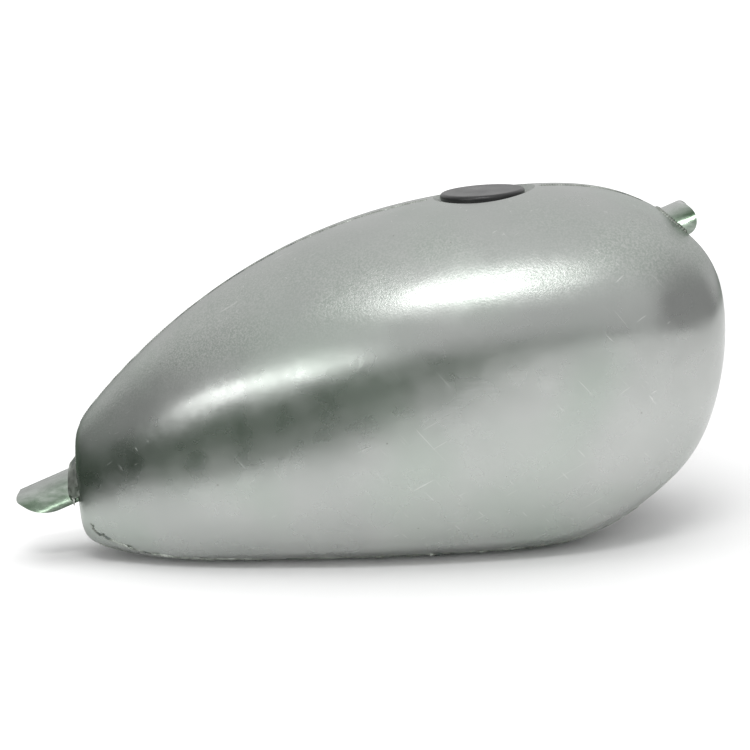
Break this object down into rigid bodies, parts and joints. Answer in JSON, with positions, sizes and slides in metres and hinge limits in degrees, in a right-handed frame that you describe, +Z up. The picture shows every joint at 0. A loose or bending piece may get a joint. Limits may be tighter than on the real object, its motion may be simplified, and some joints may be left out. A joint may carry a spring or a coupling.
{
  "type": "motorcycle fuel tank",
  "caption": "Bare steel motorcycle fuel tank, narrow tail and tall rounded nose, with a backbone tunnel, half-tube brackets front and rear, and a flat round screw cap.",
  "frame": {"origin": "middle of the overall length and width, on the plane of the tank's floor", "axes": "+X forward towards the nose, +Y to the bike's left, +Z up"},
  "size_m": [0.5498, 0.2498, 0.2674],
  "materials": {
    "shell_steel": "sanded bare sheet steel",
    "tunnel_steel": "bare sheet steel, less finished",
    "bracket_steel": "bare plate",
    "weld_metal": "weld bead",
    "neck_steel": "turned steel",
    "cap_black": "black moulded",
    "plug_black": "black moulded",
    "seal_rubber": "rubber",
    "screw_steel": "zinc plated",
    "retainer_brass": "plain brass"
  },
  "bodies": {
    "tank": {"right_side_shell": "shell_steel", "left_side_shell": "shell_steel", "right_floor_pan": "shell_steel", "left_floor_pan": "shell_steel", "frame_tunnel": "tunnel_steel", "rear_bracket": "bracket_steel", "front_bracket": "bracket_steel", "rear_bracket_weld": "weld_metal", "front_bracket_weld": "weld_metal", "right_fuel_outlet": "bracket_steel", "left_fuel_outlet": "bracket_steel", "filler_seat": "shell_steel", "filler_neck": "neck_steel"},
    "cap_seal_ring": {"cap_seal": "seal_rubber"},
    "cap": {"cap_cover": "cap_black", "cap_plug": "plug_black", "cap_screws": "screw_steel", "vent_retainer": "retainer_brass", "vent_spring": "screw_steel"},
    "vent_valve": {"vent_disc": "seal_rubber"}
  },
  "joints": [
    {"name": "cap_rise", "type": "slide", "parent": "tank", "child": "cap_seal_ring", "axis": [-0.0175, 0, 0.9998], "range_m": [0, 0.012]},
    {"name": "cap_turn", "type": "hinge", "parent": "cap_seal_ring", "child": "cap", "pos_m": [0.099, 0, 0.2665], "axis": [-0.0175, 0, 0.9998], "range_deg": [0, 1080]},
    {"name": "vent_open", "type": "slide", "parent": "cap", "child": "vent_valve", "axis": [0.0175, 0, -0.9998], "range_m": [0, 0.0015], "stiffness_N_per_m": 60, "springref_m": -0.002, "deforming": ["vent_spring"]}
  ],
  "couplings": [
    {"joint": "cap_turn", "follows": "cap_rise", "rad_per_m": 1570.8}
  ]
}
